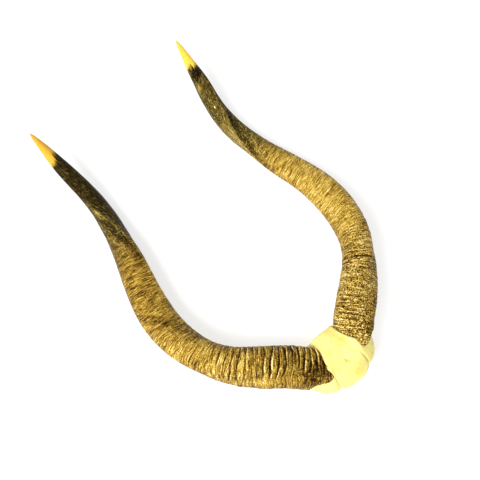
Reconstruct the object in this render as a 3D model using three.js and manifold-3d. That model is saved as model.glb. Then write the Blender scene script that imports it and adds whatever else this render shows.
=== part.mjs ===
// The horns of a nyala on their sawn skull cap, lying on the floor on their backs.
// Millimetres. X runs across, Y from the bone towards the horn tips, Z up.
// Three pieces: the bone cap with its two horn cores, and the two horn sheaths that sit on them.
import * as THREE from 'three';
import Module from 'manifold-3d';

// The horns. Seven even stations from base to tip give the direction of a horn's middle line.
const HORN_LENGTH = 620;
const RIGHT_HORN_SCALE = 1.022;                   // the animal's right horn is a little longer
const HEADING = [42, 48, 14, -13, -11, 6, 5];     // degrees outwards from straight ahead
const RISE = [15, -3, -12, -6, -5, 18, 15];       // degrees above the floor
const BASE_SPACING = 31;                          // from the midline to the middle of each base
const BASE_HEIGHT = 55;

// The horn's section: an oval that turns along the horn, with a keel running up it as a helix.
const BASE_RADIUS = 29.2;
const TAPER = 0.27;
const TIP_POWER = 2.9;
const TIP_BLUNTNESS = 0.62;
const OVAL = 0.085;
const OVAL_ANGLE = [62, 471, -84];                // degrees: start, per length, per length cubed
const KEEL_ANGLE = [33, 344, 147];
const KEEL_HEIGHT = 0.1;                          // of the radius
const KEEL_WIDTH = 24;                            // degrees round the section
const SECTION_SIDES = 18;

// The growth rings, which fade out half way up.
const RING_COUNT = 26;
const RING_ZONE = 0.52;
const RING_RELIEF = 1.5;
const SMOOTH_ROWS = 24;

// The sheath's lower edge dips in a V on the front and stands further up the horn elsewhere.
// Each horn's V has its own angle round the horn, and its own reach down the bone.
const LEFT_V = { angle: 30, reach: 1 };
const RIGHT_V = { angle: 11, reach: 6 };
const EDGE_RISE = 21;
const EDGE_WIDTH = 40;
const EDGE_ZONE = 0.2;
const LIP = 3;

// The skull cap, measured along its saw cut from the brow to the back, and square to it.
const CUT_ANGLE = 40;                             // between the saw cut and the floor
const CUT_FRONT = { y: -45, z: 71 };
const CAP_CENTRE = 56;
const CAP_PEAK = 58;
const DOME_POWER = 1.9;
const DOME_RINGS = 8;
const EGG = { across: 55, front: 55, back: 44, rim: 5 };   // the plain shape under the outline
// Half outline from brow to back: across, along the cut, height of the rim above the cut.
const OUTLINE = [
  [0, 1, 2], [11, 1.3, 2], [20, 4.5, 3], [26, 8, 3], [28.5, 12.5, 3.5], [32.5, 11, 4],
  [40, 14.5, 5], [47, 18.5, 6], [54, 25, 10], [59, 33, 13], [61, 42, 13], [58, 52, 10],
  [51, 61, 7], [46, 71, 5], [43.5, 82, 4], [37, 92, 3], [24, 99, 3], [0, 101, 3],
];
const CORE = { wall: 3.5, from: -0.05, to: 0.085, rows: 6 };
const BRAIN_VAULT = { centre: [0, 63, 0], radii: [30, 28, 42], sides: 24 };
const EYE_ROOF = { centre: [66, 36, -3], radii: [25, 16, 11.5], sides: 16 };
const SINUS = { centre: [12.5, 18, 0], radii: [10, 8.5, 10], sides: 14 };
const GAP = 0.3;                                  // between a sheath and the bone under it

// Turned about X by this many degrees, both horns and the back of the bone touch the floor.
const REST_PITCH = 0.87;

const RAD = Math.PI / 180;
const wasm = await Module();
wasm.setup();

// A smooth curve through even stations, read at t from 0 to 1.
function station(values, t) {
  const last = values.length - 1;
  const x = THREE.MathUtils.clamp(t, 0, 1) * last;
  const i = Math.min(Math.floor(x), last - 1);
  const f = x - i;
  const b = values[i], c = values[i + 1];
  const a = i > 0 ? values[i - 1] : 2 * b - c;
  const d = i < last - 1 ? values[i + 2] : 2 * c - b;
  return 0.5 * (2 * b + (c - a) * f + (2 * a - 5 * b + 4 * c - d) * f * f
    + (3 * b - a - 3 * c + d) * f * f * f);
}

function direction(t) {
  const heading = station(HEADING, t) * RAD;
  const rise = station(RISE, t) * RAD;
  return new THREE.Vector3(Math.sin(heading) * Math.cos(rise),
    Math.cos(heading) * Math.cos(rise), Math.sin(rise));
}

// The horn's middle line, added up in short steps from the middle of its base.
const PATH_STEPS = 400;
const path = [new THREE.Vector3(BASE_SPACING, 0, BASE_HEIGHT)];
for (let i = 1; i <= PATH_STEPS; i++) {
  path.push(direction((i - 0.5) / PATH_STEPS).multiplyScalar(HORN_LENGTH / PATH_STEPS)
    .add(path[i - 1]));
}

function pathPoint(t) {
  if (t < 0) return direction(0).multiplyScalar(t * HORN_LENGTH).add(path[0]);
  const x = Math.min(t, 1) * PATH_STEPS;
  const i = Math.min(Math.floor(x), PATH_STEPS - 1);
  return path[i].clone().lerp(path[i + 1], x - i);
}

function cubicAngle([start, slope, cube], t) {
  return start + slope * t + cube * t * t * t;
}

// The distance from the middle line to the skin, at an angle round the section in degrees
// counted from straight up towards the outer side.
function skinRadius(t, angle) {
  const s = THREE.MathUtils.clamp(t, 0, 1);
  const body = BASE_RADIUS * (1 - TAPER * s)
    * Math.pow(Math.max(1 - Math.pow(s, TIP_POWER), 0), TIP_BLUNTNESS);
  const oval = OVAL * Math.cos(2 * (angle - cubicAngle(OVAL_ANGLE, s)) * RAD);
  const fromKeel = THREE.MathUtils.euclideanModulo(angle - cubicAngle(KEEL_ANGLE, s) + 180, 360)
    - 180;
  return body * (1 + oval + KEEL_HEIGHT * (Math.exp(-((fromKeel / KEEL_WIDTH) ** 2)) - 0.2));
}

function skinPoint(t, angle, radius) {
  const along = direction(Math.max(t, 0));
  const up = new THREE.Vector3(0, 0, 1).addScaledVector(along, -along.z).normalize();
  const out = new THREE.Vector3().crossVectors(along, up);
  return pathPoint(t).addScaledVector(up, radius * Math.cos(angle * RAD))
    .addScaledVector(out, radius * Math.sin(angle * RAD));
}

// A closed skin: rings of points from one end to the other, closed by a point at each end.
function skin(first, rings, last) {
  const n = rings[0].length;
  const points = [first, ...rings.flat(), last];
  const at = (ring, i) => 1 + ring * n + (i % n);
  const faces = [];
  for (let i = 0; i < n; i++) {
    faces.push(0, at(0, i + 1), at(0, i));
    for (let r = 0; r < rings.length - 1; r++) {
      faces.push(at(r, i), at(r, i + 1), at(r + 1, i + 1), at(r, i), at(r + 1, i + 1), at(r + 1, i));
    }
    faces.push(at(rings.length - 1, i), at(rings.length - 1, i + 1), points.length - 1);
  }
  return new wasm.Manifold(new wasm.Mesh({
    numProp: 3,
    vertProperties: new Float32Array(points.flatMap((p) => [p.x, p.y, p.z])),
    triVerts: new Uint32Array(faces),
  }));
}

function mirrored(points) {
  return points.map((p) => new THREE.Vector3(-p.x, p.y, p.z)).reverse();
}

// How far up the horn the sheath's edge stands, in shares of the horn's length.
function edgeRise(angle, v) {
  const fromV = THREE.MathUtils.euclideanModulo(angle - v.angle + 180, 360) - 180;
  const rise = EDGE_RISE * (1 - Math.exp(-((Math.abs(fromV) / EDGE_WIDTH) ** 1.5)));
  return (rise - v.reach) / HORN_LENGTH;
}

// One ring of the sheath. Its corners start at the keel, so the keel stays crisp.
function sheathRing(t, v, relief, inset) {
  const blend = Math.max(1 - t / EDGE_ZONE, 0) ** 2;
  return Array.from({ length: SECTION_SIDES }, (_, i) => {
    const angle = cubicAngle(KEEL_ANGLE, t) + 360 * i / SECTION_SIDES;
    const s = t + edgeRise(angle, v) * blend;
    return skinPoint(s, angle, skinRadius(s, angle) + relief - inset);
  });
}

function sheathRings(v) {
  const rings = [sheathRing(0, v, 0, LIP), sheathRing(0.002, v, 0, 0.6)];
  for (let i = 1; i <= 2 * RING_COUNT; i++) {
    const t = RING_ZONE * (i + 0.22 * Math.sin(1.9 * i)) / (2 * RING_COUNT);
    const fade = 1 - THREE.MathUtils.smoothstep(t, 0.34, RING_ZONE);
    const size = RING_RELIEF * fade * (0.8 + 0.3 * Math.sin(2.3 * i));
    rings.push(sheathRing(t, v, i % 2 ? size / 2 : -size / 2, 0));
  }
  for (let i = 1; i < SMOOTH_ROWS; i++) {
    const t = RING_ZONE + (1 - RING_ZONE) * Math.sin(Math.PI / 2 * i / SMOOTH_ROWS);
    rings.push(sheathRing(t, v, 0, 0));
  }
  return rings;
}

// From the cut's own directions to the part's: across, along the cut, height above the cut.
function fromCut(across, along, height) {
  const c = Math.cos(CUT_ANGLE * RAD), s = Math.sin(CUT_ANGLE * RAD);
  return new THREE.Vector3(across, CUT_FRONT.y + along * c + height * s,
    CUT_FRONT.z - along * s + height * c);
}

// The bone's outside without its horn cores, all faces moved out by grow.
function dome(grow) {
  const half = new THREE.CatmullRomCurve3(OUTLINE.map((p) => new THREE.Vector3(...p)),
    false, 'centripetal').getPoints(2 * (OUTLINE.length - 1));
  half[0].x = half[half.length - 1].x = 0;
  const round = [...half, ...half.slice(1, -1).reverse()
    .map((p) => new THREE.Vector3(-p.x, p.y, p.z))];
  const ring = (share, height) => round.map((p) => {
    const across = p.x, along = p.y - CAP_CENTRE;
    const own = THREE.MathUtils.smoothstep(share, 0.55, 1);
    const reach = Math.hypot(across, along);
    const egg = reach / Math.hypot(across / EGG.across, along / (along < 0 ? EGG.front : EGG.back));
    const scale = share * (egg + (reach - egg) * own + grow) / reach;
    return fromCut(across * scale, CAP_CENTRE + along * scale,
      height(EGG.rim + (p.z - EGG.rim) * own));
  });
  const rings = [ring(1, () => -grow), ring(1, (rim) => 0.6 * rim)];
  for (let i = 0; i < DOME_RINGS; i++) {
    const share = 0.985 * (1 - (i / DOME_RINGS) ** 1.15);
    rings.push(ring(share, (rim) => rim + grow + (CAP_PEAK - rim) * (1 - share ** DOME_POWER)));
  }
  return skin(fromCut(0, CAP_CENTRE, -grow), rings, fromCut(0, CAP_CENTRE, CAP_PEAK + grow));
}

// The bone core inside a sheath: a tube along the horn's first stretch with a rounded end.
function core(grow, mirror) {
  const rings = [];
  for (let i = 0; i < CORE.rows; i++) {
    const t = CORE.from + (CORE.to - CORE.from) * i / (CORE.rows - 1);
    const round = Math.sqrt(1 - 0.75 * Math.max((t - 0.05) / (CORE.to - 0.05), 0) ** 2);
    rings.push(Array.from({ length: SECTION_SIDES }, (_, j) => {
      const angle = 360 * j / SECTION_SIDES;
      return skinPoint(t, angle, (skinRadius(t, angle) - CORE.wall) * round + grow);
    }));
  }
  const ends = [pathPoint(CORE.from), pathPoint(CORE.to + (6 + grow) / HORN_LENGTH)];
  if (!mirror) return skin(ends[0], rings, ends[1]);
  const [a, b] = ends.map((p) => mirrored([p])[0]);
  return skin(a, rings.map(mirrored), b);
}

// A rounded hollow, placed in the cut's own directions.
function hollow({ centre, radii, sides }, side = 1) {
  const rows = sides / 2;
  const sphere = new THREE.SphereGeometry(1, sides, rows);
  const position = sphere.getAttribute('position');
  const rings = [];
  const at = (i) => fromCut(side * centre[0] + position.getX(i) * radii[0],
    centre[1] + position.getZ(i) * radii[1], centre[2] + position.getY(i) * radii[2]);
  for (let r = rows - 1; r > 0; r--) {
    rings.push(Array.from({ length: sides }, (_, i) => at(r * (sides + 1) + i)).reverse());
  }
  return skin(at(rows * (sides + 1)), rings, at(0));
}

function cap(grow) {
  return dome(grow).add(core(grow, false)).add(core(grow, true));
}

// The bone above the saw cut, hollowed by the brain, the eye sockets and the sinuses.
function skullCap() {
  const up = fromCut(0, 0, 1).sub(fromCut(0, 0, 0));
  let bone = cap(0).trimByPlane(up.toArray(), up.dot(fromCut(0, 0, 0)));
  bone = bone.subtract(hollow(BRAIN_VAULT));
  for (const side of [1, -1]) {
    bone = bone.subtract(hollow(EYE_ROOF, side)).subtract(hollow(SINUS, side));
  }
  return bone;
}

// A sheath, cut away where the bone fills it. The animal's right horn is the mirrored one.
function sheath(right) {
  const scale = right ? RIGHT_HORN_SCALE : 1;
  const about = path[0];
  const place = (p) => p.sub(about).multiplyScalar(scale).add(about);
  const rings = sheathRings(right ? RIGHT_V : LEFT_V).map((ring) => ring.map(place));
  const ends = [place(pathPoint(-0.03)), place(pathPoint(1))];
  const raw = right
    ? skin(mirrored([ends[0]])[0], rings.map(mirrored), mirrored([ends[1]])[0])
    : skin(ends[0], rings, ends[1]);
  return raw.subtract(cap(GAP));
}

const solids = { skull_cap: skullCap(), left_horn: sheath(false), right_horn: sheath(true) };
for (const name in solids) solids[name] = solids[name].rotate([REST_PITCH, 0, 0]);
const box = new THREE.Box3();
for (const solid of Object.values(solids)) {
  const { min, max } = solid.boundingBox();
  box.expandByPoint(new THREE.Vector3(...min)).expandByPoint(new THREE.Vector3(...max));
}

const materials = {
  skull_cap: { color: '#efe6a4', roughness: 0.72, metalness: 0 },
  left_horn: { color: '#7a5c2c', roughness: 0.5, metalness: 0 },
  right_horn: { color: '#8a6a34', roughness: 0.5, metalness: 0 },
};

const group = new THREE.Group();
for (const [name, solid] of Object.entries(solids)) {
  const { vertProperties, triVerts } = solid.getMesh();
  const geometry = new THREE.BufferGeometry();
  geometry.setAttribute('position', new THREE.BufferAttribute(vertProperties, 3));
  geometry.setIndex(new THREE.BufferAttribute(triVerts, 1));
  geometry.computeVertexNormals();
  const mesh = new THREE.Mesh(geometry, new THREE.MeshStandardMaterial(materials[name]));
  mesh.name = name;
  mesh.position.set(-(box.min.x + box.max.x) / 2, -(box.min.y + box.max.y) / 2, -box.min.z);
  group.add(mesh);
}

export default group;
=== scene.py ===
"""A pair of nyala horns on their sawn skull cap, lying on a pale floor, in Blender 4.5.

The bone and both horns are surfaces worked out as whole arrays from a few stations. Sizes are in
millimetres while a shape is made, and into_frame() sets it down in the frame, in metres.
"""
from math import radians

import bpy
import numpy as np
from mathutils import Matrix


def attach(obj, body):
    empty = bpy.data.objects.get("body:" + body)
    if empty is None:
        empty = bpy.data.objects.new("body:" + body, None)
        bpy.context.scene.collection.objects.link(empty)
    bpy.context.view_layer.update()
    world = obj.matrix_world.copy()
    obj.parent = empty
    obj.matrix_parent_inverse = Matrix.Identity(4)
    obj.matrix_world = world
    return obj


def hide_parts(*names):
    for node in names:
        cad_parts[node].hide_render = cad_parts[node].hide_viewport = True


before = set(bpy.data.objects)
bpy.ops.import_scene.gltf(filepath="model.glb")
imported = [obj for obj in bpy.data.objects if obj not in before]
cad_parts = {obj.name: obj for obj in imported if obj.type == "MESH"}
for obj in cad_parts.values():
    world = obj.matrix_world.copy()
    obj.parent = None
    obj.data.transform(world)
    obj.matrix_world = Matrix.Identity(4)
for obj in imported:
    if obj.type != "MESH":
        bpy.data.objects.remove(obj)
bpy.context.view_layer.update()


# Skull cap
# The sawn top of the skull: forehead, brows over the eye sockets and the roof of the braincase,
# in one bone with the two horn cores. Boiled and dried bone, cut off flat with a saw.

DOME_TOP = 56.0         # how far behind the brow the dome is highest, along the saw cut
DOME_HEIGHT = 58.0      # above the saw cut
EGG_HALF_WIDTH = 55.0   # of the plain egg that the dome's inner rings follow
EGG_FRONT, EGG_BACK = 55.0, 44.0
EGG_FOOT = 5.0          # height above the cut that the plain dome starts from
RIM_FROM = 0.55         # share of the way out where the rings start to take on the rim's outline
SPOKES = 340            # points round a ring
DOME_ROWS, UNDER_ROWS = 149, 111

# Half the outline from brow to back: across, along the cut, height of the rim above the cut.
outline = np.array([
    [0, 1, 2], [11, 1.3, 2], [20, 4.5, 3], [26, 8, 3], [28.5, 12.5, 3.5], [32.5, 11, 4],
    [40, 14.5, 5], [47, 18.5, 6], [54, 25, 10], [59, 33, 13], [61, 42, 13], [58, 52, 10],
    [51, 61, 7], [46, 71, 5], [43.5, 82, 4], [37, 92, 3], [24, 99, 3], [0, 101, 3]])


def station(values, t):
    """A smooth curve through even stations, read at t from 0 to 1 (Catmull-Rom).

    Between two stations b and c, with a before and d after them, and f from 0 to 1, it is half of
    2b + (c - a) f + (2a - 5b + 4c - d) f^2 + (3b - a - 3c + d) f^3.
    """
    values = np.asarray(values, float)
    padded = np.r_[2 * values[0] - values[1], values, 2 * values[-1] - values[-2]]
    x = np.clip(t, 0, 1) * (len(values) - 1)
    i = np.minimum(x.astype(int), len(values) - 2)
    f = x - i
    a, b, c, d = padded[i], padded[i + 1], padded[i + 2], padded[i + 3]
    return 0.5 * (2 * b + (c - a) * f + (2 * a - 5 * b + 4 * c - d) * f**2
                  + (3 * b - a - 3 * c + d) * f**3)


def smooth(x, low, high):
    """0 below low, 1 above high, and 3f^2 - 2f^3 between."""
    f = np.clip((x - low) / (high - low), 0, 1)
    return f * f * (3 - 2 * f)


def noise(u, v, across_u, across_v, seed):
    """Smooth random field from -1 to 1 on a lattice; v runs round and closes on itself."""
    lattice = np.random.default_rng(seed).uniform(-1, 1, (across_u + 2, across_v))
    x, y = np.clip(u, 0, 1) * across_u, (v % 1.0) * across_v
    i, j = np.floor(x).astype(int), np.floor(y).astype(int)
    fx, fy = x - i, y - j
    fx, fy = fx * fx * (3 - 2 * fx), fy * fy * (3 - 2 * fy)
    j, k = j % across_v, (j + 1) % across_v
    low = lattice[i, j] * (1 - fy) + lattice[i, k] * fy
    high = lattice[i + 1, j] * (1 - fy) + lattice[i + 1, k] * fy
    return low * (1 - fx) + high * fx


half = np.stack([station(outline[:, k], np.linspace(0, 1, SPOKES // 2 + 1)) for k in range(3)], -1)
half[[0, -1], 0] = 0
rim = np.concatenate([half, half[-2:0:-1] * [-1, 1, 1]])
rim_across, rim_along, rim_height = rim[:, 0], rim[:, 1] - DOME_TOP, rim[:, 2]
whole = np.hypot(rim_across, rim_along)
way_across, way_along = rim_across / whole, rim_along / whole
egg = whole / np.hypot(rim_across / EGG_HALF_WIDTH,
                       rim_along / np.where(rim_along < 0, EGG_FRONT, EGG_BACK))

# The rim is broken a little: chips about 7 and 3 mm long, up to 0.5 and 0.3 mm deep.
round_rim = np.arange(SPOKES) / SPOKES
reach = whole + (0.5 * noise(0.3 + 0 * round_rim, round_rim, 2, 46, 31)
                 + 0.3 * noise(0.7 + 0 * round_rim, round_rim, 2, 110, 32))


def ring_reach(share):
    """How far out on each spoke a ring lies: a plain egg inside, the rim's outline outside."""
    return egg + (reach - egg) * smooth(share, RIM_FROM, 1)


CUT_ANGLE = radians(40)     # from the floor down to the saw cut
BROW = (-45.0, 71.0)        # where the cut leaves the brow: Y and Z in the horns' own frame


def from_cut(across, along, height):
    """Across the skull, along the saw cut from the brow backwards, and square up from it."""
    return np.stack([across + 0 * along + 0 * height,
                     BROW[0] + along * np.cos(CUT_ANGLE) + height * np.sin(CUT_ANGLE),
                     BROW[1] - along * np.sin(CUT_ANGLE) + height * np.cos(CUT_ANGLE)], -1)


HORN_LENGTH = 620.0   # the animal's left horn, along its middle
WALL = 3.5            # from the sheath's skin to the bone core
core_foot = np.array([31.0, 44.75, 16.67])      # the horn's start and its way, in the cut's
core_way = np.array([0.646, 0.3835, 0.660])     # own directions

# How far the sheath's lower edge stands up the horn, in thousandths of it, at degrees round it.
left_edge = np.array([
    [-150, 34], [-82, 39], [-60, 31], [-45, 28], [-30, 25.5], [-15, 23], [-4, 21], [0, 18],
    [7, 13], [12, 7.5], [18, 2.5], [25, 5], [31, 11], [36, 19], [41, 26], [47, 32.5], [55, 38],
    [75, 40], [110, 36]])
right_edge = np.array([
    [-150, 31], [-75, 27.5], [-55, 22], [-45, 21], [-30, 18], [-17, 14.5], [-11, 10.2],
    [-6, 10.5], [0, 9], [7, -1], [12, -6], [17, -8], [25, -4], [30, 2.5], [36, 11], [42, 21],
    [50, 28], [57, 31], [70, 35], [110, 31]])


def sheath_edge(angle, side):
    """Where the sheath starts along the horn, round the left horn (1) or the right one (-1)."""
    stops = left_edge if side > 0 else right_edge
    return np.interp(angle, stops[:, 0], stops[:, 1] / 1000, period=360)


BASE_RADIUS = 29.2    # of the sheath's skin, the mean round it
OVAL = 0.085          # share of it that the section is longer one way and shorter the other


def body_radius(t, angle):
    """Mean skin of the horn: a tapering body times an oval that turns along the horn.

    The body is its base's radius times (1 - 0.27 s)(1 - s^2.9)^0.62 at the place s, and the
    oval's long way leans 62 + 471 s - 84 s^3 degrees from straight up.
    """
    s = np.clip(t, 0, 1)
    body = BASE_RADIUS * (1 - 0.27 * s) * (1 - s**2.9) ** 0.62
    lean = 62 + 471 * s - 84 * s**3
    return body * (1 + OVAL * np.cos(np.radians(2 * (angle - lean))))


def near_core(across, along, height, side):
    """(distance outside the horn core, distance up it past the sheath's edge, angle round it)."""
    away = np.stack([across * side, along, height], -1) - core_foot
    up_it = away @ core_way
    off = away - up_it[..., None] * core_way
    top = np.array([0.0, -np.sin(CUT_ANGLE), np.cos(CUT_ANGLE)])
    top = top - (top @ core_way) * core_way
    top /= np.linalg.norm(top)
    angle = np.degrees(np.arctan2(off @ np.cross(core_way, top), off @ top))
    radius = body_radius(np.zeros_like(angle), angle) - WALL
    past = up_it - sheath_edge(angle, side) * HORN_LENGTH
    return np.linalg.norm(off, axis=-1) - radius, past, angle


def blend(a, b, within):
    """The smaller of two distances, rounded where they are this near each other."""
    part = np.clip(0.5 + 0.5 * (b - a) / within, 0, 1)
    return b + (a - b) * part - within * part * (1 - part)


FILLING = 9.0               # height of the bell-shaped filling between forehead and brow
FILLING_PLACE = (28.5, 15)  # its middle, across and along
FILLING_SPREAD = (6.5, 8)
CORE_SHOWS = 9.0            # how far the core's own surface goes on under the sheath's edge


def above_bone(far, elevation):
    """How far a point stands outside the bone; far and elevation place it on its spoke.

    The dome's height is low + (top - low)(1 - share^1.9), where low is the height it starts from
    and share the part of the way out, found by trying again until it is steady. The filling
    between the forehead and each brow lies on it. The cores flare smoothly out of it, and it
    drops under the sheaths' edges.
    """
    flat, height = far * np.cos(elevation), far * np.sin(elevation)
    share = flat / reach
    for _ in range(12):
        share = flat / ring_reach(share)
    low = EGG_FOOT + (rim_height - EGG_FOOT) * smooth(share, RIM_FROM, 1)
    dome = low + (DOME_HEIGHT - low) * (1 - share**1.9)
    across, along = flat * way_across, DOME_TOP + flat * way_along
    filled = np.exp(-((np.abs(across) - FILLING_PLACE[0]) / FILLING_SPREAD[0]) ** 2
                    - ((along - FILLING_PLACE[1]) / FILLING_SPREAD[1]) ** 2)
    dome = dome + FILLING * filled * (1 - np.minimum(share, 1) ** 24)
    field = (height - dome) / np.sqrt(1 + 4 * share**1.8)
    flare = 4 + 18 * (1 - smooth(share, 0.86, 1.02))
    cores = [near_core(across, along, height, side)[:2] for side in (1, -1)]
    for apart, past in cores:
        field = blend(field, np.maximum(apart, past - CORE_SHOWS), flare)
    for apart, past in cores:
        under = np.minimum(0.7 * (past + 1.0 - 0.8 * np.maximum(apart - 4, 0)), apart)
        field = -blend(-field, -under, 2.0)
    return field


# The outside: on each ray from a point low in the middle, the furthest place where it leaves the
# bone. Even steps find it, and halving sharpens it.
NEAR_END, FAR_END, STEPS = 8.0, 118.0, 72
rim_rise = np.arctan2(rim_height, reach)
raised = np.linspace(0, 1, DOME_ROWS + 1)[:-1, None]
elevation = rim_rise + (np.pi / 2 - rim_rise) * raised
low_end = np.full(elevation.shape, NEAR_END)
for far in np.linspace(NEAR_END, FAR_END, STEPS):
    low_end = np.where(above_bone(far + 0 * elevation, elevation) < 0, far, low_end)
high_end = low_end + (FAR_END - NEAR_END) / (STEPS - 1)
for _ in range(16):
    middle = (low_end + high_end) / 2
    inside = above_bone(middle, elevation) < 0
    low_end, high_end = np.where(inside, middle, low_end), np.where(inside, high_end, middle)

# Its relief: waves 12 and 2.5 mm wide, streaks that run under the sheaths, and on the forehead
# the bent seam between the two frontal bones, a pit on it, and a crack in from the rim each side.
SEAM_DEPTH, PIT_DEPTH, CRACK_DEPTH = 0.15, 1.1, 0.4
flat = low_end * np.cos(elevation)
across, along = flat * way_across, DOME_TOP + flat * way_along
height = low_end * np.sin(elevation)
u, v = along / 110, across / 150 + 0.5
swell = 0.35 * noise(u, v, 9, 12, 11) + 0.14 * noise(u, v, 44, 60, 12)
suture_line = 0.8 * np.sin(along * 0.55) + 0.5 * np.sin(along * 1.7 + 1)
suture = np.exp(-((across - suture_line) / 0.5) ** 2) * smooth(along, 14, 24)
suture *= 1 - smooth(along, 30, 44)
pit = np.exp(-(((across - 0.5) / 0.9) ** 2 + ((along - 19.5) / 1.9) ** 2))
crack_line = 28.5 - 0.12 * (along - 12) + 0.5 * np.sin(along * 1.1)
crack = np.exp(-((np.abs(across) - crack_line) / 0.45) ** 2) * (1 - smooth(along, 13.5, 17))
streaks = np.zeros_like(along)
for side in (1, -1):
    _, past, angle = near_core(across, along, height, side)
    beside = np.clip((past + 30) / 60, 0, 1)
    streaks += 0.22 * noise(beside, angle / 360, 3, 120, 13) * smooth(past, -16, -2)
relief = ((swell + streaks) * smooth(raised, 0.0, 0.06)
          - SEAM_DEPTH * suture - PIT_DEPTH * pit - CRACK_DEPTH * crack)
outer = from_cut(across, along, height + relief)

# The hollows of the underside: (middle, radii) across, along and up. The brain's vault, and on
# both sides the roof of an eye socket and a sinus behind the brow.
brain = ((0, 63, 0), (30, 28, 42))
eye_roofs = [((side * 66, 36, -3), (25, 16, 11.5)) for side in (1, -1)]
sinuses = [((side * 12.5, 18, 0), (10, 8.5, 10)) for side in (1, -1)]


def roof_height(across, along, hollows):
    """Height above the cut of the highest hollow's roof, or 0: m3 + r3 sqrt(1 - a^2 - b^2).

    Here a and b are the distances from the hollow's middle, across and along, over its radii.
    """
    roof = 0 * across
    for middle, radii in hollows:
        inside = 1 - ((across - middle[0]) / radii[0]) ** 2 - ((along - middle[1]) / radii[1]) ** 2
        bowl = middle[2] + radii[2] * np.sqrt(np.maximum(inside, 0))
        roof = np.where(inside > 0, np.maximum(roof, bowl), roof)
    return roof


# The rim's edge stands on the cut, but over the eye sockets it stands on their roofs.
edge_across, edge_along = rim_across * reach / whole, DOME_TOP + rim_along * reach / whole
edge_low = roof_height(edge_across, edge_along, eye_roofs)
edge = np.stack([from_cut(edge_across, edge_along, edge_low + (height[0] - edge_low) * part)
                 for part in (0.3, 0.7)])

# The underside: flat where it is sawn, with the hollows in it.
shares = np.linspace(0, 1, UNDER_ROWS + 1)[1:, None]
scale = shares * ring_reach(shares) / reach
across_under, along_under = rim_across * scale, DOME_TOP + rim_along * scale
roof = roof_height(across_under, along_under, [brain] + eye_roofs + sinuses)
under = from_cut(across_under, along_under, roof)
VAULT_TOP = 40.7    # the roof of the vault over the middle of the rings

REST_TURN = radians(0.87)                       # about X, and the shift after it: they set the
REST_SHIFT = [1.7606, -260.1856, -6.0976]       # object down on the backs of its horns and cap


def into_frame(points):
    """Millimetres as modelled to metres in the frame: a small turn about X, then a shift.

    What would reach below the floor, under a millimetre of the lumps, is level with it.
    """
    x, y, z = points[..., 0], points[..., 1], points[..., 2]
    placed = np.stack([x, y * np.cos(REST_TURN) - z * np.sin(REST_TURN),
                       y * np.sin(REST_TURN) + z * np.cos(REST_TURN)], -1) + REST_SHIFT
    placed[..., 2] = np.maximum(placed[..., 2], 0)
    return placed * 0.001


def skin(first, rings, last):
    """(points, faces) of rings of points, closed by one point at each end."""
    rows, n = rings.shape[:2]
    points = np.concatenate([first[None], rings.reshape(-1, 3), last[None]])
    at = 1 + np.arange(rows * n).reshape(rows, n)
    beside = np.roll(at, -1, 1)
    quads = np.stack([at[:-1], beside[:-1], beside[1:], at[1:]], -1).reshape(-1, 4)
    start = np.stack([np.zeros(n, int), beside[0], at[0]], -1)
    end = np.stack([at[-1], beside[-1], np.full(n, len(points) - 1)], -1)
    return points, [quads, start, end]


def make_piece(name, shell, values, material):
    """One smooth mesh object from (points, faces), with its values for each point."""
    points, faces = shell
    corners = np.concatenate([block.ravel() for block in faces])
    sizes = np.concatenate([np.full(len(block), block.shape[1]) for block in faces])
    mesh = bpy.data.meshes.new(name)
    mesh.vertices.add(len(points))
    mesh.vertices.foreach_set("co", into_frame(points).ravel())
    mesh.loops.add(len(corners))
    mesh.loops.foreach_set("vertex_index", corners)
    mesh.polygons.add(len(sizes))
    mesh.polygons.foreach_set("loop_start", np.r_[0, np.cumsum(sizes)[:-1]])
    mesh.polygons.foreach_set("use_smooth", np.ones(len(sizes), bool))
    for title, value in values.items():
        kind, field = ("FLOAT", "value") if value.ndim == 1 else ("FLOAT_VECTOR", "vector")
        mesh.attributes.new(title, kind, "POINT").data.foreach_set(field, value.ravel())
    mesh.update(calc_edges=True)
    mesh.validate()
    mesh.materials.append(material)
    piece = bpy.data.objects.new(name, mesh)
    bpy.context.collection.objects.link(piece)
    return piece


def linear(code):
    """An sRGB hex colour as linear red, green, blue and alpha."""
    channels = np.array([int(code[i:i + 2], 16) for i in (1, 3, 5)]) / 255
    light = np.where(channels <= 0.04045, channels / 12.92, ((channels + 0.055) / 1.055) ** 2.4)
    return (*light.tolist(), 1.0)


def add(tree, kind, *values, out=None, stops=(), **settings):
    """Adds a shader node of this kind and gives its output, the one named out or the first.

    The values go to the inputs in use, in their order: an output of another node is linked, and
    None leaves an input alone. Stops are a colour ramp's places, each with its colour.
    """
    node = tree.nodes.new("ShaderNode" + kind)
    for name, value in settings.items():
        setattr(node, name, value)
    for socket, value in zip([socket for socket in node.inputs if socket.enabled], values):
        if isinstance(value, bpy.types.NodeSocket):
            tree.links.new(value, socket)
        elif value is not None:
            socket.default_value = value
    elements = node.color_ramp.elements if stops else []
    while len(elements) < len(stops):
        elements.new(0.5)
    for element, (place, colour) in zip(elements, stops):
        element.position, element.color = place, colour
    return node.outputs[out] if out else next(s for s in node.outputs if s.enabled)


def shades(stops):
    """Colour ramp stops from (place, hex colour) pairs."""
    return [(place, linear(code)) for place, code in stops]


def mask(tree, *parts):
    """The product of its parts, each a value, an output, or a soft step (field, low, high).

    The step is 0 where the field is at low and 1 where it is at high, and 3f^2 - 2f^3 between.
    """
    product = None
    for part in parts:
        if isinstance(part, tuple):
            part = add(tree, "MapRange", *part, interpolation_type="SMOOTHSTEP")
        if product is None:
            product = part
        else:
            product = add(tree, "Math", product, part, operation="MULTIPLY")
    return product


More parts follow.
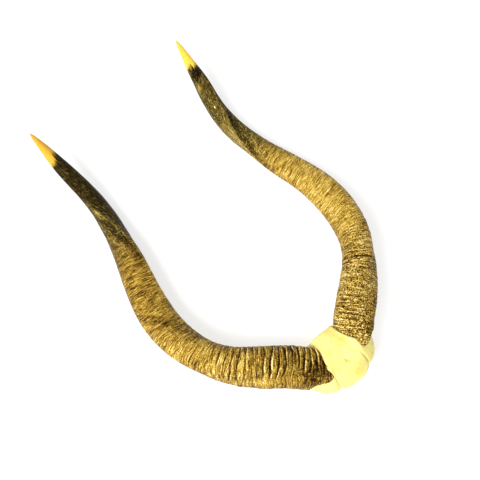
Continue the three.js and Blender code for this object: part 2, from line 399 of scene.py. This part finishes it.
def bone_material():
    """Dry cleaned bone. Boiled, degreased and left matt: it gives a soft chalky pale yellow,
    a little darker where fat stayed in it, with fine pores and faint cracks."""
    material = bpy.data.materials.new("Cleaned dry bone")
    material.use_nodes = True
    tree = material.node_tree
    shader = tree.nodes["Principled BSDF"]
    place = add(tree, "TexCoord", out="Object")
    sawn_here = add(tree, "Attribute", out="Fac", attribute_name="sawn")
    seam = add(tree, "Attribute", out="Fac", attribute_name="seam")

    # Scales are cells to the metre: clouds of fat are 38 mm wide, patches 13 mm and the grain
    # 2 mm, drawn coarser than real pores of 0.3 mm so that it shows. Spongy bone has cells of
    # 1.4 mm, and 190 gives saw marks 1.7 mm apart.
    fat = add(tree, "TexNoise", place, 26.0, 3.0, 0.55)
    patch = add(tree, "TexNoise", place, 75.0, 4.0, 0.55)
    grain = add(tree, "TexNoise", place, 520.0, 4.0, 0.55)
    cells = add(tree, "TexVoronoi", place, 700.0, 3.0, 0.55)
    saw = add(tree, "TexWave", place, 190.0, 2.0, 3.0, out="Fac", bands_direction="X")

    colour = add(tree, "ValToRGB", fat, stops=shades([
        (0.0, "#fcf3a2"), (0.42, "#faed97"), (0.58, "#f5e484"), (0.72, "#f0dc6c"),
        (1.0, "#e6ca50")]))
    tints = [("#ecda70", mask(tree, (patch, 0.5, 0.72), 0.3)),
             ("#cdb76a", mask(tree, (grain, 0.45, 0.7), 0.22))]
    # Stains of old fat: middle in the frame, radius and colour.
    for centre, size, code in (((-0.003, -0.2465, 0.080), 0.009, "#ecd150"),
                               ((0.008, -0.2543, 0.080), 0.006, "#eccf4c"),
                               ((0.0104, -0.2955, 0.069), 0.010, "#eccf60"),
                               ((0.0444, -0.2934, 0.055), 0.009, "#e6c24e")):
        apart = add(tree, "VectorMath", place, centre, operation="DISTANCE")
        apart = add(tree, "Math", apart, 0.07, operation="SUBTRACT")
        ragged = add(tree, "Math", patch, 0.14, apart, operation="MULTIPLY_ADD")
        tints.append((code, mask(tree, (ragged, size, -size), 0.5)))
    tints += [("#7c7048", mask(tree, seam, 0.7)),
              ("#b99f5e", mask(tree, (cells, 0.55, 0.2), sawn_here, 0.55))]
    for code, share in tints:
        colour = add(tree, "Mix", share, colour, linear(code), data_type="RGBA")

    height = add(tree, "Math", grain, 0.6, mask(tree, saw, sawn_here, 0.5),
                 operation="MULTIPLY_ADD")
    tree.links.new(add(tree, "Bump", 0.35, 0.0006, None, height), shader.inputs["Normal"])
    tree.links.new(colour, shader.inputs["Base Color"])
    shader.inputs["Roughness"].default_value = 0.7
    shader.inputs["IOR"].default_value = 1.5
    shader.inputs["Subsurface Weight"].default_value = 0.6
    shader.inputs["Subsurface Radius"].default_value = (1.0, 0.7, 0.4)
    shader.inputs["Subsurface Scale"].default_value = 0.012
    return material


# Where the bone is sawn and where a seam or crack darkens it, for each point of the skin.
middle_of_cap = np.array(0.0), np.array(DOME_TOP)
cap_skin = skin(from_cut(*middle_of_cap, np.array(VAULT_TOP)),
                np.concatenate([under, edge, outer]),
                from_cut(*middle_of_cap, height[-1].mean() + relief[-1].mean()))
plain_edge = np.zeros((2, SPOKES))
sawn = np.concatenate([(roof <= 0).astype(float), plain_edge, np.zeros(height.shape)])
seams = np.concatenate([np.zeros(roof.shape), plain_edge,
                        np.clip(0.3 * suture + pit + 0.6 * crack, 0, 1)])
bone = make_piece("skull_cap_bone", cap_skin, {
    "sawn": np.r_[0, sawn.ravel(), 0], "seam": np.r_[0, seams.ravel(), 0]}, bone_material())
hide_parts("skull_cap")
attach(bone, "root")


# Left horn
# The animal's left horn sheath. Horn grows in a yearly cone over the bone core: the lower half is
# ringed, the upper third is smooth with a keel that winds up it, and the tip is pale.

ROUND = 132             # points round a ring
BODY_ROWS, TIP_ROWS = 589, 40
TIP_FROM = 0.96         # above this place along the horn the rows draw together
BASE = [31.0, 0.0, 55.0]                # the middle line's start
RINGS = 69              # growth rings in a whole horn's length, 9 mm apart
FINE_RINGS = 165        # 4 mm apart
KEEL_RISE = 0.11        # height of the keel, as a share of the radius
KEEL_WIDTH, GROOVE_PLACE, GROOVE_WIDTH = 20, 48, 26     # degrees round the horn
SOCKET_DEPTH = 0.09     # share of the horn's length that it goes in to
SOCKET_WALL = 3.1       # from the mean skin to the socket, which leaves 0.4 mm round the core


def direction(t):
    """Unit vector along the horn's middle line: sin h cos r, cos h cos r, sin r.

    h is the heading outwards from straight ahead and r the rise above the floor.
    """
    heading = np.radians(station([42, 48, 14, -13, -11, 6, 5], t))
    rise = np.radians(station([15, -3, -12, -6, -5, 18, 15], t))
    return np.stack([np.sin(heading) * np.cos(rise), np.cos(heading) * np.cos(rise),
                     np.sin(rise)], -1)


def middle_line(t):
    """Point on the horn's middle line: its direction added up from the middle of the base."""
    steps = 1500
    mids = (np.arange(steps) + 0.5) / steps
    line = np.r_[np.zeros((1, 3)), np.cumsum(direction(mids) * HORN_LENGTH / steps, axis=0)]
    line += BASE
    knots = np.linspace(0, 1, steps + 1)
    point = np.stack([np.interp(t, knots, line[:, k]) for k in range(3)], -1)
    return point + np.minimum(t, 0)[..., None] * HORN_LENGTH * direction(np.zeros_like(t))


def keel_angle(t):
    """Degrees round the horn, from straight up towards the outer side, where the keel runs."""
    return 33 + 344 * t + 147 * t**3


def around(t, angle, radius):
    """Points at a radius from the middle line, at an angle round it."""
    along = direction(np.maximum(t, 0))
    up = np.array([0.0, 0.0, 1.0]) - along[..., 2:] * along
    up /= np.linalg.norm(up, axis=-1, keepdims=True)
    out = np.cross(along, up)
    turn = np.radians(angle)[..., None]
    return middle_line(t) + radius[..., None] * (up * np.cos(turn) + out * np.sin(turn))


def horn_relief(s, turn, seed, ringing):
    """(height in millimetres, painted crease shade and painted crest highlight from 0 to 1) of the
    horn's skin.

    Growth rings are broad crests with narrow creases between, |cos|^5 of a phase that noise
    bends, deepest on the forehead side and gone by two fifths of the way. Fine rings lie between
    them and above, up to two thirds, and lumps and granules over both. Above that the horn only
    has grain along its length.
    """
    phase = RINGS * s + 0.42 * noise(s, turn, 34, 5, seed) + 0.12 * noise(s, turn, 70, 13, seed + 1)
    wave = np.abs(np.cos(np.pi * phase))
    strong = np.clip(0.5 + 0.8 * noise(s, turn, 50, 5, seed + 2)
                     + 0.4 * ringing**3 * (1 - smooth(s, 0.12, 0.2)), 0.5 * ringing**2, 1.25)
    side = (turn * 360 + 180) % 360 - 180
    strong *= 0.15 + 0.95 * np.maximum(1 - smooth(side, -60, -15), smooth(side, 110, 160))
    fade = ringing * (1 - smooth(s, 0.14, 0.42)) * strong
    crest_highlight = np.exp(-(((phase - 0.25) % 1 - 0.5) / 0.09) ** 2)

    fine_phase = FINE_RINGS * s + 0.9 * noise(s, turn, 60, 9, seed + 3)
    fine = np.abs(np.cos(np.pi * fine_phase)) ** 3 * (0.5 + 0.5 * noise(s, turn, 40, 7, seed + 8))
    fine *= smooth(s, 0.02, 0.2) * (1 - smooth(s, 0.5, 0.7))
    rough = (1 - 0.75 * smooth(s, 0.22, 0.55)) * (1 - smooth(s, 0.6, 0.72))
    lumps = rough * (0.4 * noise(s, turn, 62, 18, seed + 4)
                     + 0.45 * noise(s, turn, 150, 46, seed + 5))
    grain = smooth(s, 0.35, 0.6) * (1 - smooth(s, 0.9, 1)) * (
        0.18 * noise(s, turn, 9, 60, seed + 6) + 0.3 * noise(s, turn, 7, 18, seed + 7))
    height = 0.3 * ringing - fade * wave**5 - 0.3 * fine + lumps + grain
    crease_shade = np.clip(fade * wave**10 + 0.4 * fine, 0, 1)
    return height, crease_shade, ringing * (1 - smooth(s, 0.13, 0.3)) * crest_highlight * strong


def horn(side_of, scale, ringing, keel_way, seed):
    """(skin, values) of one sheath: its outside from the lower edge to the tip, and the socket.

    Rings of points stand along the middle line. A point's radius is the body's, plus the keel's
    bell-shaped ridge with a shallow groove beside it, plus the relief. keel_way lists how many
    degrees the ridge stands off keel_angle at places along the horn, and how high it is there.
    """
    towards_tip = np.sin(np.arange(TIP_ROWS) / TIP_ROWS * np.pi / 2)
    rows = np.r_[np.arange(BODY_ROWS) / BODY_ROWS * TIP_FROM,
                 TIP_FROM + (1 - TIP_FROM) * towards_tip]
    t, turn = np.meshgrid(rows, np.arange(ROUND) / ROUND, indexing="ij")
    angle = keel_angle(t) + 360 * turn
    s = t + sheath_edge(angle, side_of) * np.maximum(1 - t / 0.2, 0) ** 2
    mean = body_radius(s, angle)
    places, drifts, highs = np.transpose(keel_way)
    drift, high = np.interp(s, places, drifts), np.interp(s, places, highs)
    side = (turn * 360 - drift + 180) % 360 - 180
    grooves = np.exp(-((np.abs(side) - GROOVE_PLACE) / GROOVE_WIDTH) ** 2)
    keel = np.exp(-(side / KEEL_WIDTH) ** 2) - 0.25 * grooves - 0.1
    relief, crease_shade, crest_highlight = horn_relief(s, turn, seed, ringing)
    radius = mean * (1 + KEEL_RISE * high * keel) + relief * np.minimum(mean / 12, 1)
    outer = around(s, angle, radius)

    # The socket over the bone core, from its end to its mouth, and the lip round that.
    low = s[0]
    inner = [(SOCKET_DEPTH + (low - SOCKET_DEPTH) * part, SOCKET_WALL)
             for part in (0, 0.25, 0.5, 0.75, 1)]
    inner += [(low - 0.002, 2.2), (low - 0.0022, 1.0)]
    socket = np.stack([around(at, angle[0], body_radius(at, angle[0]) - inset)
                       for at, inset in inner])
    rings = np.concatenate([socket, outer])
    ends = middle_line(np.array([0.1, 1.0]))
    shaft = np.stack([np.cos(np.radians(side)), np.sin(np.radians(side)), s], -1)
    shaft, crease_shade, crest_highlight = (np.concatenate([np.repeat(value[:1], len(inner), 0), value])
                            for value in (shaft, crease_shade, crest_highlight))

    rings, ends = (rings - BASE) * scale + BASE, (ends - BASE) * scale + BASE
    if side_of < 0:
        flip = np.array([-1, 1, 1])
        rings, ends = rings[:, ::-1] * flip, ends * flip
        shaft, crease_shade, crest_highlight = shaft[:, ::-1], crease_shade[:, ::-1], crest_highlight[:, ::-1]
    values = {"shaft": np.concatenate([shaft[:1, 0], shaft.reshape(-1, 3), [[1, 0, 1.0]]]),
              "crease_shade": np.r_[0, crease_shade.ravel(), 0], "crest_highlight": np.r_[0, crest_highlight.ravel(), 0]}
    return skin(ends[0], rings, ends[1]), values


lower_colours = shades([(0.0, "#180d03"), (0.2, "#422c0e"), (0.36, "#71541d"), (0.5, "#98782c"),
                        (0.62, "#ba963c"), (0.78, "#e2c05d"), (1.0, "#fdf2b2")])
upper_colours = shades([(0.0, "#0a0702"), (0.2, "#261e0c"), (0.36, "#493d1b"), (0.5, "#74622b"),
                        (0.62, "#9f8740"), (0.8, "#cdb15c"), (1.0, "#f4e4a4")])


def horn_material(name, tones, graininess, facets, line_from, patches, tip, tip_colours):
    """Horn sheath. Keratin laid down in cones and rubbed by the animal: a satin, slightly waxy
    surface, golden where light gets in, with painted shade in the creases, pale and clear at the
    tip.

    Its tone, from 0 dark to 1 pale, is the sum of a value for the place along the horn, grains,
    ring lines and fibres, painted shade and highlights, and patches; two ramps, of the lower and
    the upper horn, colour it.
    """
    material = bpy.data.materials.new(name)
    material.use_nodes = True
    tree = material.node_tree
    shader = tree.nodes["Principled BSDF"]
    shaft = add(tree, "Attribute", out="Vector", attribute_name="shaft")
    crease_shade = add(tree, "Attribute", out="Fac", attribute_name="crease_shade")
    crest_highlight = add(tree, "Attribute", out="Fac", attribute_name="crest_highlight")
    keel, side, along = (add(tree, "SeparateXYZ", shaft, out=axis) for axis in "XYZ")

    # One unit of shaft is 25 mm round the horn and 620 mm along it, so 1, 1, 24.8 is even, and a
    # scale of 25 gives blobs 1 mm wide. The grains are 1.6 mm wide, the crumbs 5 and the patches
    # 16. Ring lines are 2.3 and 1 mm wide, and fibres and the tip's jags 1.2 and 4 mm.
    even = add(tree, "VectorMath", shaft, (1, 1, 24.8), operation="MULTIPLY")
    grain = add(tree, "TexNoise", even, 16.0, 3.0, 0.6)
    crumb = add(tree, "TexNoise", even, 5.0, 3.0, 0.6)
    patch = add(tree, "TexNoise", even, 1.6, 3.0, 0.6)
    slanted = add(tree, "Math", side, 0.004, along, operation="MULTIPLY_ADD")
    bent = add(tree, "Math", patch, 0.012, slanted, operation="MULTIPLY_ADD")
    laid = add(tree, "CombineXYZ", keel, side, bent)
    lines, hairlines, fibre, jag = (
        add(tree, "TexNoise", add(tree, "VectorMath", field, stretch, operation="MULTIPLY"), scale,
            detail, 0.6)
        for field, stretch, scale, detail in ((laid, (0.07, 0.07, 24.8), 11.0, 2.0),
                                              (laid, (0.06, 0.06, 24.8), 26.0, 2.0),
                                              (shaft, (1, 1, 3.2), 20.0, 3.0),
                                              (shaft, (1, 1, 0.6), 6.5, 3.0)))

    def more(start, *shares):
        """A start value with more added where each (mask, more) lies."""
        for share, value in shares:
            start = add(tree, "Math", share, value, start, operation="MULTIPLY_ADD")
        return start

    base = mask(tree, (along, 0.4, 0.12))
    lower = mask(tree, (along, 0.76, 0.5))
    upper = mask(tree, (along, 0.54, 0.68), (along, 0.99, 0.95))
    front_level, back_level, mottle = facets
    # Masks for painted shade in the groove beside the keel and a painted highlight along the keel's
    # ridge.
    keel_groove_shade = mask(tree, (side, 0.06, 0.2), (side, 0.7, 0.45), (keel, 0.3, 0.7),
                  (along, 0.54, 0.6), (along, 0.8, 0.72))
    keel_highlight = mask(tree, (keel, 0.96, 0.998), (along, line_from, line_from + 0.05),
                     (along, 0.8, 0.66))
    # What the tone is made of: a field, how much of it, and the middle it is counted from.
    layers = [
        (patch, 0.28, 0.5),
        (grain, more(0.8, (upper, 0.7), (base, graininess)), 0.5),
        (crumb, more(0.15, (base, 0.45)), 0.5),
        (lines, mask(tree, lower, 0.28), 0.5),
        (hairlines, mask(tree, lower, 1.7), 0.5),
        (fibre, more(0.1, (upper, 1.4)), 0.5),
        # Painted shade in the ring creases, and a painted highlight on their crests.
        (mask(tree, (crease_shade, 0.12, 0.8)), -0.36, 0.0),
        (mask(tree, (crest_highlight, 0.2, 0.8), (grain, 0.3, 0.45)), 0.34, 0.0),
        # The upper horn is darker on one side of the keel than on the other: partly its own colour,
        # partly painted shade.
        (mask(tree, (side, 0.08, -0.1), upper), front_level, 0.0),
        (mask(tree, (side, 0.0, 0.3), upper), back_level, 0.0),
        (crumb, mask(tree, upper, mottle), 0.5),
        # Painted shade in the groove beside the keel, and a painted highlight along the keel.
        (keel_groove_shade, -0.15, 0.0),
        (keel_highlight, 0.1, 0.0)]
    for (place, degrees), (length, width), level in patches:
        angle = radians(degrees)
        centre = (np.cos(angle) / width, np.sin(angle) / width, place / length)
        near = add(tree, "VectorMath", shaft, (1 / width, 1 / width, 1 / length),
                   operation="MULTIPLY")
        apart = add(tree, "VectorMath", near, centre, operation="DISTANCE")
        ragged = add(tree, "Math", apart, 1.5, operation="SUBTRACT")
        layers.append((mask(tree, (more(ragged, (crumb, 3.0)), 1.3, 0.2)), level, 0.0))
    # A ramp holds linear light, so the tones go in as greys, and the power brings them back.
    greys = shades((at, "#" + 3 * f"{round(255 * level):02x}") for at, level in tones)
    light = add(tree, "SeparateColor", add(tree, "ValToRGB", along, stops=greys), out="Red")
    tone = add(tree, "Math", light, 1 / 2.2, operation="POWER")
    for field, gain, middle in layers:
        off = add(tree, "Math", field, middle, operation="SUBTRACT")
        tone = add(tree, "Math", off, gain, tone, operation="MULTIPLY_ADD")
    colour = add(tree, "Mix", upper, add(tree, "ValToRGB", tone, stops=lower_colours),
                 add(tree, "ValToRGB", tone, stops=upper_colours), data_type="RGBA")

    # The pale tip starts in jags, slanted over the keel, and is warmer and darker orange on the
    # side away from it: partly its own colour, partly painted shade.
    tip_start, tip_slant, tip_warmth_and_shade = tip
    jag = add(tree, "Math", jag, 0.5, operation="SUBTRACT")
    reached = more(along, (jag, 0.05), (keel, tip_slant))
    tip_colour = add(tree, "Mix", mask(tree, (keel, -0.2, -0.8), tip_warmth_and_shade),
                     add(tree, "ValToRGB", fibre, stops=shades(tip_colours)), linear("#d89c36"),
                     data_type="RGBA")
    colour = add(tree, "Mix", mask(tree, (reached, tip_start - 0.004, tip_start + 0.004)), colour,
                 tip_colour, data_type="RGBA")

    height = more(mask(tree, fibre, 0.5), (grain, more(0.15, (base, 0.9))),
                  (lines, mask(tree, lower, 0.9)), (crumb, 0.3))
    tree.links.new(add(tree, "Bump", 0.8, 0.0015, None, height), shader.inputs["Normal"])
    tree.links.new(more(0.36, (grain, 0.25)), shader.inputs["Roughness"])
    tree.links.new(colour, shader.inputs["Base Color"])
    shader.inputs["IOR"].default_value = 1.54
    shader.inputs["Specular IOR Level"].default_value = 0.1
    shader.inputs["Specular Tint"].default_value = linear("#d0a860")
    return material


# A patch is (place along, degrees off the keel), (length, width) and how much paler it is.
left_skin, left_values = horn(side_of=1, scale=1.0, ringing=0.6, seed=100,
                              keel_way=[(0, 0, 1), (1, 0, 1)])
left_horn = make_piece("left_horn_sheath", left_skin, left_values, horn_material(
    "Satin horn, golden",
    tones=[(0.0, 0.47), (0.15, 0.49), (0.2, 0.45), (0.3, 0.54), (0.45, 0.58), (0.52, 0.56),
           (0.6, 0.5), (0.7, 0.41), (0.8, 0.335), (1.0, 0.29)],
    graininess=2.0, facets=(0.0, -0.05, 0.35), line_from=0.57,
    # Among these, the bright patch at 0.794 is a painted glint, the dark patches at 0.09 and 0.19
    # are painted shade on the side away from the key light, and the dark patch at 0.82 is partly
    # the horn's own colour, partly painted shade.
    patches=[((0.9, -100), (0.022, 1.0), -0.4), ((0.862, -125), (0.018, 0.5), 0.2),
             ((0.7, -90), (0.05, 0.8), 0.1), ((0.7, -30), (0.05, 0.6), 0.1),
             ((0.82, 60), (0.1, 0.7), -0.18), ((0.19, -50), (0.02, 0.6), -0.16),
             ((0.09, -8), (0.1, 0.5), -0.16), ((0.794, -42), (0.006, 0.1), 0.7)],
    tip=(0.92, 0.0, 0.0), tip_colours=[(0.35, "#ecbc40"), (0.5, "#f2ca4c"), (0.65, "#f6d760")]))
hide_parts("left_horn")
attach(left_horn, "root")


# Right horn
# The animal's right horn sheath: the left one's mirror image, 2 per cent longer, more ringed and
# darker above, with its lower edge reaching further down the bone.

right_skin, right_values = horn(side_of=-1, scale=1.022, ringing=1.0, seed=200, keel_way=[
    (0, 0, 1), (0.3, 0, 0.8), (0.39, 6, 0.2), (0.42, 36, 0.1), (0.46, 80, 0.2), (0.5, 80, 0.5),
    (0.54, 60, 0.7), (0.58, 42, 0.9), (0.62, 34, 1), (0.74, 32, 1), (0.84, 18, 1), (0.94, 0, 1),
    (1, 0, 1)])
right_horn = make_piece("right_horn_sheath", right_skin, right_values, horn_material(
    "Satin horn, dark",
    tones=[(0.0, 0.37), (0.1, 0.42), (0.2, 0.5), (0.28, 0.54), (0.4, 0.5), (0.47, 0.43),
           (0.52, 0.4), (0.6, 0.37), (0.68, 0.33), (0.78, 0.26), (1.0, 0.21)],
    graininess=0.5, facets=(-0.12, 0.0, 0.4), line_from=0.46,
    # Among these, the dark patch at 0.37 is painted shade on the inner side of the bend, and the
    # faint pale patch at 0.6 is a painted sheen.
    patches=[((0.735, 14), (0.025, 0.25), 0.4), ((0.49, 0), (0.07, 0.5), 0.12),
             ((0.03, -35), (0.035, 0.6), -0.22), ((0.17, -25), (0.1, 0.28), 0.14),
             ((0.37, 150), (0.09, 0.6), -0.2), ((0.6, 50), (0.12, 0.5), 0.06)],
    tip=(0.914, 0.012, 0.4), tip_colours=[(0.35, "#cb9e2d"), (0.5, "#d6aa37"), (0.65, "#dfba49")]))
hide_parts("right_horn")
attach(right_horn, "root")


# Floor
# A plain pale studio sheet of opal acrylic. It is cast matt and lit a little from below, so that
# it is white all over and the shadows on it stay faint.

bpy.ops.mesh.primitive_plane_add(size=12, location=(0, 0, 0))
floor = bpy.context.object
floor.name = "studio_floor"
opal = bpy.data.materials.new("Opal acrylic sheet")
opal.use_nodes = True
opal_shader = opal.node_tree.nodes["Principled BSDF"]
opal_shader.inputs["Base Color"].default_value = linear("#a4a4a3")
opal_shader.inputs["Emission Color"].default_value = (1, 1, 1, 1)
opal_shader.inputs["Emission Strength"].default_value = 0.66
opal_shader.inputs["Roughness"].default_value = 0.9
floor.data.materials.append(opal)


# Camera
# About a metre above the forehead side, looking nearly straight down, and turned so that the
# tips point to the picture's upper left. Its place was fitted to the outline of both horns.

CAMERA_PLACE = (-0.19888, -0.17686, 0.98301)
LENS = 46.70
CAMERA_TURNS = ((-12.36, "Y"), (7.846, "X"), (-40.707, "Z"))    # in degrees, before the rest turn

camera = bpy.data.objects.new("camera", bpy.data.cameras.new("camera"))
bpy.context.collection.objects.link(camera)
camera.data.sensor_width = 36
camera.data.lens = LENS
camera.data.clip_end = 50
camera_turn = Matrix.Rotation(REST_TURN, 4, "X")
for degrees, axis in CAMERA_TURNS:
    camera_turn = camera_turn @ Matrix.Rotation(radians(degrees), 4, axis)
camera.matrix_world = Matrix.Translation(CAMERA_PLACE) @ camera_turn
bpy.context.scene.camera = camera


# Lights
# A large soft box at the picture's left gives the horns their shape, in a white room that
# darkens towards the picture's right.

KEY_PLACE, KEY_SIZE, KEY_WATTS = (-1.6, 0.05, 2.3), 1.05, 77

key = bpy.data.objects.new("key", bpy.data.lights.new("key", "AREA"))
bpy.context.collection.objects.link(key)
key.data.size = KEY_SIZE
key.data.energy = KEY_WATTS
back = np.array(KEY_PLACE) / np.linalg.norm(KEY_PLACE)
right = np.cross([0.0, 0.0, 1.0], back)
right /= np.linalg.norm(right)
facing = Matrix(np.stack([right, np.cross(back, right), back], -1).tolist()).to_4x4()
key.matrix_world = Matrix.Translation(KEY_PLACE) @ facing

BRIGHT_SIDE = (-0.75, 0.05, 0.65)   # of the room, seen from its middle
DIM, BRIGHT = 0.25, 0.95            # strength of its light opposite that side and on it

world = bpy.data.worlds.new("white room")
world.use_nodes = True
room = world.node_tree
towards = add(room, "VectorMath", add(room, "TexCoord", out="Generated"), BRIGHT_SIDE,
              operation="DOT_PRODUCT")
strength = add(room, "MapRange", towards, -0.6, 0.9, DIM, BRIGHT)
room.links.new(strength, room.nodes["Background"].inputs["Strength"])
room.nodes["Background"].inputs["Color"].default_value = (1, 1, 1, 1)
bpy.context.scene.world = world
bpy.context.scene.view_settings.view_transform = "Standard"
